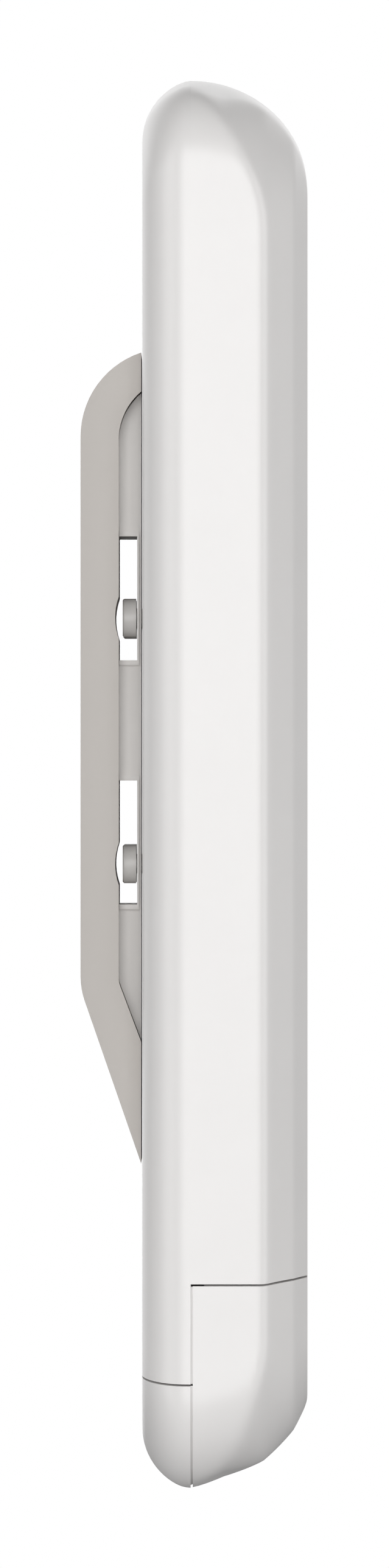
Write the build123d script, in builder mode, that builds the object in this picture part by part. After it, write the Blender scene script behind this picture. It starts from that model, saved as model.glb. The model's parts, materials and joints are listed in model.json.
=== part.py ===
"""Outdoor wireless access point hung on a pole-and-wall bracket, modelled as separate pieces.

Frame: +Z up, the wall plane is Y = 0 and the unit faces -Y; the origin is the centre of the bracket's
wall face. Units are millimetres. Each sub-part is written to parts/NAME.step.
"""

import os

from build123d import *

# --- overall form of the body -------------------------------------------------------------------
BODY_WIDTH = 181.0
BODY_TOP = 156.8
BODY_BOTTOM = -186.2
BODY_BACK = -15.05
BODY_FRONT = -55.1
PARTING_Y = -26.8
CROWN = 4.2
BEVEL_CROWN = 10.2
BEVEL_SAG = 5.0
TOP_CORNER = 16.5
BOTTOM_CORNER = 22.0
TOP_NOSE_DROP = 26.0
BOTTOM_NOSE_DROP = 22.3
BACK_EDGE_DROP = 14.4
BACK_EDGE_POWER = 1.6
TOP_NOSE_POWER = 2.0
BOTTOM_NOSE_POWER = 1.5
# The bevel round the face: depth from the parting plane, fall from the side, corner radius, fall from the ends.
BEVEL_STEPS = (
    (0.0, -21.5, 30.0, -6.5),
    (8.0, -11.9, 28.0, -1.8),
    (17.6, -0.4, 28.0, -0.1),
    (25.0, 8.8, 20.0, 8.8),
    (28.3, 15.6, 15.0, 15.6),
)
WALL = 2.4
SEAM = 0.5
INNER_BACK = BODY_BACK - WALL
INNER_FRONT = BODY_FRONT + WALL

# --- where the body divides ---------------------------------------------------------------------
COVER_SEAM_FRONT = -136.5
COVER_SEAM_BACK = -160.7
SEAM_ARCH = 3.2
BULKHEAD_BOTTOM = COVER_SEAM_FRONT + SEAM_ARCH + 0.3
BULKHEAD_THICKNESS = 2.5
BULKHEAD_TOP = BULKHEAD_BOTTOM + BULKHEAD_THICKNESS

# --- bracket ------------------------------------------------------------------------------------
TRAY_HALF_WIDTH = 50.0
KEY_HALF_WIDTH = 42.0
BRACKET_FRONT = BODY_BACK + 0.3
TIER_Y = -9.3
TRAY_WALL = 2.4
TRAY_TOP = 89.7
TRAY_BOTTOM = -107.7
TRAY_FLAT_TOP = 69.3
TRAY_FLAT_BOTTOM = -65.2
KEY_TOP = 79.9
KEY_BOTTOM = -77.7
KEY_FLAT_TOP = 69.2
KEY_FLAT_BOTTOM = -63.2
KEY_SHEET = 1.0
KEY_FLOOR = 1.8
STRAP_SLOT_HEIGHT = 30.2
STRAP_SLOT_CENTRES = (29.95, -29.55)
STRAP_LIP = 1.2
STRAP_LIP_PROUD = 1.4
WALL_SCREW_SPACING_X = 56.0
WALL_SCREW_SPACING_Z = 112.0
WALL_SCREW_RADIUS = 2.25
DRIVER_ACCESS_RADIUS = 4.8
BRACKET_SCREW_SPOTS = [(-34.0, 0.2), (34.0, 0.2), (0.0, 58.0), (0.0, -55.0)]

# --- studs on the back of the body --------------------------------------------------------------
STUD_HEIGHTS = (25.2, -34.8)
STUD_X = 33.5
STUD_SPOTS = [(x, z) for x in (-STUD_X, STUD_X) for z in STUD_HEIGHTS]
STUD_HEAD_RADIUS = 4.7
STUD_NECK_RADIUS = 2.3
STUD_SHANK_RADIUS = 2.0
STUD_TIP_Y = -10.2
STUD_HEAD_SEAT = -13.5
STUD_TRAVEL = 12.0
STUD_BOSS_END = -21.9

# --- electronics --------------------------------------------------------------------------------
BOARD_BACK = -22.3
BOARD_THICKNESS = 1.6
BOARD_FRONT = BOARD_BACK - BOARD_THICKNESS
BOARD_HALF_WIDTH = 60.0
BOARD_TOP = -14.0
BOARD_BOTTOM = -130.0
BOARD_SCREW_SPOTS = [(x, z) for x in (-54.0, 54.0) for z in (-125.0, -20.0)]
JACK_CENTRES = (-14.0, 14.0)
JACK_WIDTH = 16.0
JACK_DEPTH = 13.4
JACK_LENGTH = 21.0
JACK_MOUTH = BULKHEAD_BOTTOM - 1.0
PLUG_WIDTH = 11.9
PLUG_HEIGHT = 6.9
PLUG_LENGTH = 14.0
RESET_X = 38.0
RESET_Y = -27.0
RESET_RADIUS = 1.5
VENT_X = -38.0
VENT_Y = -34.0
LIGHT_Z = -104.0
REFLECTOR_BACK = -39.0
REFLECTOR_THICKNESS = 1.0
REFLECTOR_FRONT = REFLECTOR_BACK - REFLECTOR_THICKNESS
REFLECTOR_BOTTOM = -8.0
REFLECTOR_TOP = 140.0
REFLECTOR_HALF_WIDTH = 60.0
REFLECTOR_POSTS = [(x, z) for x in (-52.0, 52.0) for z in (0.0, 130.0)]
ANTENNA_CENTRES = {"left": -40.0, "centre": 0.0, "right": 40.0}
ANTENNA_BACK = -46.8
ANTENNA_THICKNESS = 0.8
ANTENNA_BOTTOM = 6.0
ANTENNA_LENGTH = 120.0
COAX_RADIUS = 0.9
COAX_START_Z = -22.0

# --- fasteners ----------------------------------------------------------------------------------
HOUSING_SCREW_SPOTS = [(x, z) for x in (-68.0, 68.0) for z in (130.0, 8.0, -114.0)]
HOUSING_SCREW_RADIUS = 1.5
HOUSING_HEAD_RADIUS = 3.4
COVER_SCREW_SPOTS = [(-60.0, -166.0), (60.0, -166.0)]
SMALL_SCREW_RADIUS = 1.2
SMALL_HEAD_RADIUS = 2.6

# --- port cover details -------------------------------------------------------------------------
LATCH_WIDTH = 16.0
LATCH_HEIGHT = 6.6
LATCH_Z = -167.2
GROMMET_CENTRES = [(-22.0, -35.8), (22.0, -35.8)]
GROMMET_RADIUS = 6.0
GROMMET_FLANGE_RADIUS = 7.8
GROMMET_SEAT = -177.3


def save(part, name):
    """Labels a finished piece and writes its STEP file."""
    part.label = name
    export_step(part, f"parts/{name}.step")


def back_plane(y):
    """The plane at depth y whose sketches are seen from the front; extrusions run towards the front."""
    return Plane.XZ.offset(-y)


def bar(low, high):
    """A plain block between two corners, for trimming other pieces."""
    size = [b - a for a, b in zip(low, high)]
    return Pos(*low) * Box(*size, align=(Align.MIN,) * 3, mode=Mode.PRIVATE)


def rods(spots, radius, start_y, end_y):
    """Round rods along Y at each spot (x, z), from start_y forwards to end_y."""
    with BuildPart(mode=Mode.PRIVATE) as group:
        with BuildSketch(back_plane(start_y)):
            with Locations(*spots):
                Circle(radius)
        extrude(amount=start_y - end_y)
    return group.part


def slab(width, low_z, high_z, start_y, end_y, x=0.0):
    """A block centred on x, between two heights, from start_y forwards to end_y."""
    return bar((x - width / 2, end_y, low_z), (x + width / 2, start_y, high_z))


def body_section(y, inset, side_drop, top_drop, bottom_drop, top_corner, bottom_corner, crown=CROWN, sag=0.0):
    """Front-view outline of the body at depth y: round corners and a slightly arched top."""
    spread = ((BODY_WIDTH - 2 * inset - 2 * side_drop) / BODY_WIDTH) ** 2
    half_width = BODY_WIDTH / 2 - inset - side_drop
    top = BODY_TOP - inset - top_drop
    bottom = BODY_BOTTOM + inset + bottom_drop
    shoulder, heel = top - crown * spread, bottom + sag * spread
    with BuildSketch(back_plane(y), mode=Mode.PRIVATE) as outline:
        with BuildLine():
            ThreePointArc((-half_width, shoulder), (0, top), (half_width, shoulder))
            Line((half_width, shoulder), (half_width, heel))
            if sag:
                ThreePointArc((half_width, heel), (0, bottom), (-half_width, heel))
            else:
                Line((half_width, heel), (-half_width, heel))
            Line((-half_width, heel), (-half_width, shoulder))
        make_face()
        fillet(outline.vertices().group_by(Axis.Y)[-1], top_corner)
        fillet(outline.vertices().group_by(Axis.Y)[0], bottom_corner)
    return outline.sketch


def eased(step, power):
    """How far a rounded end has fallen, from 0 to 1, at a share step of its depth."""
    return 1 - (1 - step**power) ** 0.5


def seam_block(side_z, start_y, end_y):
    """Everything above a seam that rises in a low arch from both sides."""
    half, high = BODY_WIDTH, BODY_TOP + 10
    edge = BODY_WIDTH / 2
    with BuildPart(mode=Mode.PRIVATE) as block:
        with BuildSketch(back_plane(start_y)):
            with BuildLine():
                for side in (-1, 1):
                    Bezier(
                        (side * edge, side_z),
                        (side * 0.75 * edge, side_z + 1.19 * SEAM_ARCH),
                        (side * 0.44 * edge, side_z + 1.03 * SEAM_ARCH),
                        (0, side_z + SEAM_ARCH),
                    )
                Polyline((edge, side_z), (half, side_z), (half, high))
                Polyline((half, high), (-half, high), (-half, side_z), (-edge, side_z))
            make_face()
        extrude(amount=start_y - end_y)
    return block.part


def back_half(inset):
    """The body behind the parting plane, moved inwards by inset."""
    depth = BODY_BACK - inset - PARTING_Y
    edge = BACK_EDGE_DROP - 0.3 * inset
    sections = []
    for step in (0.0, 0.4, 0.7, 0.88, 0.97, 1.0):
        fall = edge * eased(step, BACK_EDGE_POWER)
        corners = (TOP_CORNER - inset - 4.0 * step, BOTTOM_CORNER - inset - 8.0 * step)
        sections.append(body_section(PARTING_Y + step * depth, inset, fall, fall, fall, *corners))
    with BuildPart() as half:
        add(sections)
        loft(ruled=True)
    return half.part


def front_half(inset):
    """The body in front of the parting plane: nosed ends, flat sides and a wide bevel round the face."""
    reach = PARTING_Y - (BODY_FRONT + inset)
    noses, bevels = [], []
    for step in (0.0, 0.25, 0.45, 0.62, 0.76, 0.87, 0.945, 0.985, 1.0):
        top_fall = (TOP_NOSE_DROP - 0.6 * inset) * eased(step, TOP_NOSE_POWER)
        bottom_fall = (BOTTOM_NOSE_DROP - 0.6 * inset) * eased(step, BOTTOM_NOSE_POWER)
        corners = (TOP_CORNER - inset, BOTTOM_CORNER - inset)
        noses.append(body_section(PARTING_Y - step * reach, inset, 0, top_fall, bottom_fall, *corners))
    for depth, fall, corner, ends in BEVEL_STEPS:
        y = PARTING_Y - depth * reach / (PARTING_Y - BODY_FRONT)
        drops = (fall, ends + 1.0, ends + 3.3)
        bevels.append(body_section(y, inset, *drops, corner, corner, BEVEL_CROWN, BEVEL_SAG))
    with BuildPart() as half:
        add(noses)
        loft(ruled=True)
    with BuildPart() as bevel:
        add(bevels)
        loft(ruled=True)
    return half.part & bevel.part


def parting_ring(outer_inset, inner_inset, start_y, end_y):
    """A strip that follows the body's outline on the parting plane, open at the foot."""
    wide = body_section(start_y, outer_inset, 0, 0, 0, TOP_CORNER - outer_inset, BOTTOM_CORNER)
    narrow = body_section(start_y, inner_inset, 0, 0, 0, TOP_CORNER - inner_inset, BOTTOM_CORNER)
    with BuildPart(mode=Mode.PRIVATE) as ring:
        extrude(wide, amount=start_y - end_y)
        extrude(narrow, amount=start_y - end_y, mode=Mode.SUBTRACT)
        split(bisect_by=Plane.XY.offset(BULKHEAD_TOP + 1.0), keep=Keep.TOP)
    return ring.part


# --- housing ------------------------------------------------------------------------------------


def make_front_radome(shell, outer):
    """The front shell: screw bosses inside and a slot for the light pipe."""
    with BuildPart() as front_radome:
        add(shell)
        add(seam_block(COVER_SEAM_FRONT + SEAM / 2, 0, -80), mode=Mode.INTERSECT)
        add(rods(HOUSING_SCREW_SPOTS, 3.8, PARTING_Y, INNER_FRONT - 1.2))
        add(outer, mode=Mode.INTERSECT)
        add(rods(HOUSING_SCREW_SPOTS, HOUSING_SCREW_RADIUS + 0.02, PARTING_Y, -40.0), mode=Mode.SUBTRACT)
        with BuildSketch(back_plane(INNER_FRONT + 1.0)):
            with Locations((0, LIGHT_Z)):
                SlotOverall(10.2, 3.2)
        extrude(amount=WALL + 2.0, mode=Mode.SUBTRACT)
    save(front_radome.part, "front_radome")


def make_rear_housing(shell):
    """The back shell: bosses for screws and studs, board standoffs and reflector posts."""
    with BuildPart() as rear_housing:
        add(shell)
        add(seam_block(COVER_SEAM_BACK + SEAM / 2, 0, -80), mode=Mode.INTERSECT)
        add(rods(HOUSING_SCREW_SPOTS, 4.5, INNER_BACK + 1.0, PARTING_Y))
        add(rods(STUD_SPOTS, 5.0, INNER_BACK + 1.0, STUD_BOSS_END))
        add(rods(BOARD_SCREW_SPOTS, 3.2, INNER_BACK + 1.0, BOARD_BACK))
        add(rods(REFLECTOR_POSTS, 3.0, INNER_BACK + 1.0, REFLECTOR_BACK))
        add(rods(HOUSING_SCREW_SPOTS, HOUSING_SCREW_RADIUS + 0.2, BODY_BACK, PARTING_Y), mode=Mode.SUBTRACT)
        seats = rods(HOUSING_SCREW_SPOTS, HOUSING_HEAD_RADIUS + 0.3, BODY_BACK, BODY_BACK - 2.8)
        add(seats, mode=Mode.SUBTRACT)
        studs = rods(STUD_SPOTS, STUD_SHANK_RADIUS + 0.03, BODY_BACK, -20.6)
        add(studs, mode=Mode.SUBTRACT)
        add(rods(BOARD_SCREW_SPOTS, SMALL_SCREW_RADIUS + 0.05, -18.4, BOARD_BACK), mode=Mode.SUBTRACT)
        tapped = rods(REFLECTOR_POSTS, SMALL_SCREW_RADIUS + 0.05, -32.0, REFLECTOR_BACK)
        add(tapped, mode=Mode.SUBTRACT)
        add(parting_ring(0.75, 1.75, PARTING_Y + 1.05, PARTING_Y), mode=Mode.SUBTRACT)
    save(rear_housing.part, "rear_housing")


def make_housing_gasket():
    """The seal that lies in a groove on the parting plane."""
    with BuildPart() as housing_gasket:
        add(parting_ring(0.85, 1.65, PARTING_Y + 1.0, PARTING_Y))
    save(housing_gasket.part, "housing_gasket")


def make_housing_screws():
    """Six hex-socket screws that hold the back shell to the front one."""
    head_y = BODY_BACK - 0.5
    with BuildPart() as housing_screws:
        add(rods(HOUSING_SCREW_SPOTS, HOUSING_HEAD_RADIUS, head_y, BODY_BACK - 2.7))
        add(rods(HOUSING_SCREW_SPOTS, HOUSING_SCREW_RADIUS, BODY_BACK - 2.7, -39.0))
        with BuildSketch(back_plane(head_y)):
            with Locations(*HOUSING_SCREW_SPOTS):
                RegularPolygon(1.5, 6)
        extrude(amount=1.3, mode=Mode.SUBTRACT)
    save(housing_screws.part, "housing_screws")


def make_mount_studs():
    """Four headed studs that hang in the bracket's keyholes."""
    with BuildPart() as mount_studs:
        add(rods(STUD_SPOTS, STUD_HEAD_RADIUS, STUD_TIP_Y, STUD_HEAD_SEAT))
        chamfer(mount_studs.edges().group_by(Axis.Y)[-1], 0.5)
        add(rods(STUD_SPOTS, STUD_NECK_RADIUS, STUD_HEAD_SEAT, BODY_BACK))
        add(rods(STUD_SPOTS, STUD_SHANK_RADIUS, BODY_BACK, -20.5))
    save(mount_studs.part, "mount_studs")


def make_port_bulkhead(inner):
    """The plate over the cable bay, cut out for the jacks, the reset button and the vent."""
    low_z, high_z = BULKHEAD_BOTTOM, BULKHEAD_TOP
    with BuildPart() as port_bulkhead:
        add(scale(inner, by=(0.996, 1, 1), mode=Mode.PRIVATE))
        add(bar((-100, -100, low_z), (100, 0, high_z)), mode=Mode.INTERSECT)
        for x in JACK_CENTRES:
            back_y, front_y = BOARD_FRONT + 0.2, BOARD_FRONT - JACK_DEPTH - 0.2
            add(slab(JACK_WIDTH + 0.4, low_z - 1, high_z + 1, back_y, front_y, x), mode=Mode.SUBTRACT)
        with Locations((RESET_X, RESET_Y, high_z)):
            Hole(RESET_RADIUS + 0.1)
        with Locations((VENT_X, VENT_Y, high_z)):
            Hole(4.05)
    save(port_bulkhead.part, "port_bulkhead")


def make_pressure_vent():
    """A snap-in vent that lets the sealed housing breathe into the cable bay."""
    with BuildPart() as pressure_vent:
        with BuildSketch(Plane.XY.offset(BULKHEAD_BOTTOM)):
            with Locations((VENT_X, VENT_Y)):
                Circle(6.0)
        extrude(amount=-1.4)
        fillet(pressure_vent.edges().group_by(Axis.Z)[0], 0.6)
        with BuildSketch(Plane.XY.offset(BULKHEAD_BOTTOM)):
            with Locations((VENT_X, VENT_Y)):
                Circle(4.0)
        extrude(amount=4.0)
    save(pressure_vent.part, "pressure_vent")


# --- board and what it carries ------------------------------------------------------------------


def make_main_board():
    """The main circuit board with its four fixing holes."""
    height = BOARD_TOP - BOARD_BOTTOM
    with BuildPart() as main_board:
        with BuildSketch(back_plane(BOARD_BACK)) as outline:
            with Locations((0, (BOARD_TOP + BOARD_BOTTOM) / 2)):
                Rectangle(2 * BOARD_HALF_WIDTH, height)
            fillet(outline.vertices(), 2.0)
            with Locations(*BOARD_SCREW_SPOTS):
                Circle(SMALL_SCREW_RADIUS + 0.3, mode=Mode.SUBTRACT)
        extrude(amount=BOARD_THICKNESS)
    save(main_board.part, "main_board")


def make_small_screws(name, spots, seat_y, tip_y):
    """Pan-head screws with their heads towards the front."""
    with BuildPart() as screws:
        add(rods(spots, SMALL_HEAD_RADIUS, seat_y, seat_y - 1.6))
        fillet(screws.edges().group_by(Axis.Y)[0], 0.6)
        add(rods(spots, SMALL_SCREW_RADIUS, tip_y, seat_y))
        for angle in (0, 90):
            with BuildSketch(back_plane(seat_y - 0.8)):
                with Locations(*spots):
                    Rectangle(2.8, 0.6, rotation=angle)
            extrude(amount=1.0, mode=Mode.SUBTRACT)
    save(screws.part, name)


def make_jack(name, x):
    """A shielded Ethernet jack whose mouth faces down into the cable bay."""
    back = BOARD_FRONT
    floor_y = back - 2.6
    with BuildPart() as jack:
        add(slab(JACK_WIDTH, JACK_MOUTH, JACK_MOUTH + JACK_LENGTH, back, back - JACK_DEPTH, x))
        fillet(jack.edges().filter_by(Axis.Z), 0.4)
        plug = slab(PLUG_WIDTH, JACK_MOUTH, JACK_MOUTH + PLUG_LENGTH, floor_y, floor_y - PLUG_HEIGHT, x)
        add(plug, mode=Mode.SUBTRACT)
        catch_y, plug_top = floor_y - PLUG_HEIGHT, JACK_MOUTH + PLUG_LENGTH
        for width, depth in ((6.2, 1.5), (3.3, 2.5)):
            add(slab(width, JACK_MOUTH, plug_top, catch_y, catch_y - depth, x), mode=Mode.SUBTRACT)
    save(jack.part, name)


def make_jack_contacts():
    """Eight spring contacts in each jack."""
    pitch = 1.02
    spots = [x + pitch * (n - 3.5) for x in JACK_CENTRES for n in range(8)]
    with BuildPart() as jack_contacts:
        low_z, high_z = JACK_MOUTH + 6.0, JACK_MOUTH + PLUG_LENGTH - 0.1
        for x in spots:
            add(slab(0.4, low_z, high_z, BOARD_FRONT - 2.7, BOARD_FRONT - 3.1, x))
    save(jack_contacts.part, "jack_contacts")


def make_board_blocks(name, blocks, start_y, end_y, edge=0.4):
    """Square packages on the board, each given as (x, z, width, height)."""
    with BuildPart() as packages:
        for x, z, width, height in blocks:
            add(slab(width, z - height / 2, z + height / 2, start_y, end_y, x))
        fillet(packages.edges().filter_by(Axis.Y), edge)
    save(packages.part, name)


def make_shield_can(name, x, z, side=34.0, height=3.0, sheet=0.4):
    """A pressed metal can over one radio, open towards the board."""
    with BuildPart() as can:
        add(slab(side, z - side / 2, z + side / 2, BOARD_FRONT, BOARD_FRONT - height, x))
        fillet(can.edges().filter_by(Axis.Y), 1.0)
        inside = side - 2 * sheet
        hollow = slab(inside, z - inside / 2, z + inside / 2, BOARD_FRONT, BOARD_FRONT - height + sheet, x)
        add(hollow, mode=Mode.SUBTRACT)
        with BuildSketch(back_plane(BOARD_FRONT - height + 2 * sheet)):
            with Locations((x, z)):
                with GridLocations(4.5, 4.5, 5, 5):
                    Circle(0.9)
        extrude(amount=4 * sheet, mode=Mode.SUBTRACT)
    save(can.part, name)


def make_power_capacitors():
    """Three upright capacitors for the power-over-Ethernet supply."""
    with BuildPart() as power_capacitors:
        add(rods([(-46.0, -112.0), (-46.0, -100.0), (-35.0, -106.0)], 4.0, BOARD_FRONT, BOARD_FRONT - 10.0))
        fillet(power_capacitors.edges().group_by(Axis.Y)[0], 0.5)
    save(power_capacitors.part, "power_capacitors")


def make_reset_parts():
    """The reset switch on the board and the plunger that reaches it through the bulkhead."""
    switch_bottom = -126.5
    with BuildPart() as reset_switch:
        add(slab(6.0, switch_bottom, -122.5, BOARD_FRONT, BOARD_FRONT - 6.0, RESET_X))
        with BuildSketch(Plane.XY.offset(switch_bottom)):
            with Locations((RESET_X, RESET_Y)):
                Circle(1.2)
        extrude(amount=-0.6)
    save(reset_switch.part, "reset_switch")
    button_top = switch_bottom - 1.2
    with BuildPart() as reset_button:
        with BuildSketch(Plane.XY.offset(BULKHEAD_BOTTOM - 0.8)):
            with Locations((RESET_X, RESET_Y)):
                Circle(RESET_RADIUS)
        extrude(amount=button_top - BULKHEAD_BOTTOM + 0.8)
        fillet(reset_button.edges().group_by(Axis.Z)[0], 0.4)
        with BuildSketch(Plane.XY.offset(BULKHEAD_TOP + 0.2)):
            with Locations((RESET_X, RESET_Y)):
                Circle(2.6)
        extrude(amount=1.0)
    save(reset_button.part, "reset_button")


def make_light_pipe():
    """The clear pipe that carries the status light to a slot in the front face."""
    start_y = BOARD_FRONT - 1.8
    with BuildPart() as light_pipe:
        with BuildSketch(back_plane(start_y)):
            with Locations((0, LIGHT_Z)):
                SlotOverall(10.0, 3.0)
        extrude(amount=start_y - BODY_FRONT)
        with BuildSketch(back_plane(INNER_FRONT + 1.5)):
            with Locations((0, LIGHT_Z)):
                SlotOverall(13.0, 6.0)
        extrude(amount=1.5)
    save(light_pipe.part, "light_pipe")


# --- antennas -----------------------------------------------------------------------------------


def make_antenna_reflector():
    """The metal sheet behind the antennas, with a turned-up flange on each long side."""
    height = REFLECTOR_TOP - REFLECTOR_BOTTOM
    middle = (REFLECTOR_TOP + REFLECTOR_BOTTOM) / 2
    with BuildPart() as antenna_reflector:
        with BuildSketch(back_plane(REFLECTOR_BACK)):
            with Locations((0, middle)):
                Rectangle(2 * REFLECTOR_HALF_WIDTH, height)
            with Locations(*REFLECTOR_POSTS):
                Circle(SMALL_SCREW_RADIUS + 0.3, mode=Mode.SUBTRACT)
        extrude(amount=REFLECTOR_THICKNESS)
        for side in (-1, 1):
            edge_x = side * (REFLECTOR_HALF_WIDTH - REFLECTOR_THICKNESS / 2)
            add(slab(REFLECTOR_THICKNESS, REFLECTOR_BOTTOM, REFLECTOR_TOP, REFLECTOR_BACK, -43.5, edge_x))
    save(antenna_reflector.part, "antenna_reflector")


def make_antennas():
    """Three stamped strip antennas, each a ladder of notched patches."""
    notch_pitch = 20.0
    middle = ANTENNA_BOTTOM + ANTENNA_LENGTH / 2
    for side, x in ANTENNA_CENTRES.items():
        with BuildPart() as antenna:
            with BuildSketch(back_plane(ANTENNA_BACK)):
                with Locations((x, middle)):
                    Rectangle(18.0, ANTENNA_LENGTH)
                for edge_x in (x - 9.0, x + 9.0):
                    with Locations((edge_x, middle)):
                        with GridLocations(1, notch_pitch, 1, 5):
                            Rectangle(11.0, 7.0, mode=Mode.SUBTRACT)
            extrude(amount=ANTENNA_THICKNESS)
        save(antenna.part, f"antenna_{side}")


def make_antenna_spacers():
    """Plastic posts that hold the antennas off the reflector."""
    spots = [(x, z) for x in ANTENNA_CENTRES.values() for z in (36.0, 96.0)]
    with BuildPart() as antenna_spacers:
        add(rods(spots, 2.0, REFLECTOR_FRONT, ANTENNA_BACK))
    save(antenna_spacers.part, "antenna_spacers")


def make_coax_leads():
    """One thin lead from the board to each antenna, and the small connectors that they leave."""
    connector_end = BOARD_FRONT - 2.5
    run_y = ANTENNA_BACK + COAX_RADIUS + 0.05
    turn = 0.45 * (connector_end - run_y)
    with BuildPart() as coax_connectors:
        add(rods([(x, COAX_START_Z) for x in ANTENNA_CENTRES.values()], 1.6, BOARD_FRONT, connector_end))
    save(coax_connectors.part, "coax_connectors")
    for side, x in ANTENNA_CENTRES.items():
        with BuildPart() as coax:
            with BuildLine(Plane.YZ.offset(x)) as route:
                corners = [(connector_end, COAX_START_Z), (run_y, COAX_START_Z), (run_y, COAX_START_Z + 38.0)]
                FilletPolyline(*corners, radius=turn)
            with BuildSketch(Plane(origin=route.line @ 0, z_dir=route.line % 0)):
                Circle(COAX_RADIUS)
            sweep()
        save(coax.part, f"coax_{side}")


# --- port cover ---------------------------------------------------------------------------------


def make_port_cover_front(shell, outer):
    """The front half of the cover over the cable bay, with seats for the grommets."""
    with BuildPart() as port_cover_front:
        add(shell)
        add(seam_block(COVER_SEAM_FRONT - SEAM / 2, 0, -80), mode=Mode.SUBTRACT)
        add(rods(COVER_SCREW_SPOTS, 3.5, PARTING_Y, INNER_FRONT - 1.2))
        for x, y in GROMMET_CENTRES:
            with BuildSketch(Plane.XY.offset(GROMMET_SEAT)):
                with Locations((x, y)):
                    Circle(GROMMET_FLANGE_RADIUS + 0.4)
            extrude(amount=BODY_BOTTOM - GROMMET_SEAT)
        add(outer, mode=Mode.INTERSECT)
        add(bar((-100, PARTING_Y - SEAM, -200), (100, PARTING_Y + 1, 0)), mode=Mode.SUBTRACT)
        add(rods(COVER_SCREW_SPOTS, SMALL_SCREW_RADIUS + 0.03, PARTING_Y, -40.0), mode=Mode.SUBTRACT)
        for x, y in GROMMET_CENTRES:
            with Locations((x, y, GROMMET_SEAT + 1.5)):
                Cylinder(GROMMET_FLANGE_RADIUS + 0.1, 3.0, mode=Mode.SUBTRACT)
            with Locations((x, y, GROMMET_SEAT)):
                Hole(GROMMET_RADIUS + 0.05)
    save(port_cover_front.part, "port_cover_front")


def make_port_cover_rear(shell):
    """The rear half of the cover, with a window for the latch."""
    with BuildPart() as port_cover_rear:
        add(shell)
        add(seam_block(COVER_SEAM_BACK - SEAM / 2, 0, -80), mode=Mode.SUBTRACT)
        add(rods(COVER_SCREW_SPOTS, 3.5, INNER_BACK + 1.0, PARTING_Y))
        add(rods(COVER_SCREW_SPOTS, SMALL_SCREW_RADIUS + 0.2, BODY_BACK, PARTING_Y), mode=Mode.SUBTRACT)
        add(rods(COVER_SCREW_SPOTS, SMALL_HEAD_RADIUS + 0.3, BODY_BACK, BODY_BACK - 2.2), mode=Mode.SUBTRACT)
        window = slab(
            LATCH_WIDTH + 0.6,
            LATCH_Z - LATCH_HEIGHT / 2 - 0.3,
            LATCH_Z + LATCH_HEIGHT / 2 + 0.3,
            BODY_BACK + 1,
            INNER_BACK - 1,
        )
        add(window, mode=Mode.SUBTRACT)
    save(port_cover_rear.part, "port_cover_rear")


def make_cover_latch():
    """The sprung tab in the cover's back: a pad, a stop flange and a tongue behind the housing's tail."""
    low_z, high_z = LATCH_Z - LATCH_HEIGHT / 2, LATCH_Z + LATCH_HEIGHT / 2
    flange_y = INNER_BACK - 0.3
    with BuildPart() as cover_latch:
        add(slab(LATCH_WIDTH, low_z, high_z, BODY_BACK, flange_y))
        fillet(cover_latch.edges().filter_by(Axis.Y), 1.2)
        add(slab(LATCH_WIDTH + 4.0, low_z - 1.5, high_z + 1.5, flange_y, flange_y - 1.2))
        add(slab(10.0, high_z, COVER_SEAM_BACK + 8.0, flange_y, flange_y - 1.2))
        for step in (-1.8, 0.0, 1.8):
            groove = slab(11.0, LATCH_Z + step - 0.3, LATCH_Z + step + 0.3, BODY_BACK, BODY_BACK - 0.5)
            add(groove, mode=Mode.SUBTRACT)
    save(cover_latch.part, "cover_latch")


def make_cover_screws():
    """Two screws that join the halves of the port cover."""
    head_y = BODY_BACK - 0.5
    with BuildPart() as cover_screws:
        add(rods(COVER_SCREW_SPOTS, SMALL_HEAD_RADIUS, head_y, BODY_BACK - 2.1))
        add(rods(COVER_SCREW_SPOTS, SMALL_SCREW_RADIUS, BODY_BACK - 2.1, -39.0))
        with BuildSketch(back_plane(head_y)):
            with Locations(*COVER_SCREW_SPOTS):
                RegularPolygon(1.2, 6)
        extrude(amount=1.0, mode=Mode.SUBTRACT)
    save(cover_screws.part, "cover_screws")


def make_cable_grommets(outer):
    """Rubber grommets in the cover's floor, each closed by a thin membrane until a cable is fitted."""
    with BuildPart() as cable_grommets:
        for x, y in GROMMET_CENTRES:
            with BuildSketch(Plane.XY.offset(GROMMET_SEAT)):
                with Locations((x, y)):
                    Circle(GROMMET_RADIUS)
            extrude(amount=BODY_BOTTOM - GROMMET_SEAT)
            with BuildSketch(Plane.XY.offset(GROMMET_SEAT)):
                with Locations((x, y)):
                    Circle(GROMMET_FLANGE_RADIUS)
            extrude(amount=2.0)
        add(outer, mode=Mode.INTERSECT)
        for x, y in GROMMET_CENTRES:
            for plane_z, depth in ((GROMMET_SEAT + 2.0, -3.0), (BODY_BOTTOM, 5.7)):
                with BuildSketch(Plane.XY.offset(plane_z)):
                    with Locations((x, y)):
                        Circle(3.1)
                extrude(amount=depth, mode=Mode.SUBTRACT)
    save(cable_grommets.part, "cable_grommets")


# --- bracket ------------------------------------------------------------------------------------


def tray_profile():
    """Side view of the bracket's outer tier: arched at the top, straight and slanted at the foot."""
    with BuildSketch(Plane.YZ, mode=Mode.PRIVATE) as profile:
        with BuildLine():
            TangentArc((0, TRAY_FLAT_TOP), (BRACKET_FRONT, TRAY_TOP), tangent=(0, 1))
            Polyline((0, TRAY_FLAT_TOP), (0, TRAY_FLAT_BOTTOM), (BRACKET_FRONT, TRAY_BOTTOM))
            Line((BRACKET_FRONT, TRAY_BOTTOM), (BRACKET_FRONT, TRAY_TOP))
        make_face()
        fillet(profile.vertices().sort_by_distance((0, TRAY_FLAT_BOTTOM))[0], 18.0)
    return profile.sketch


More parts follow.
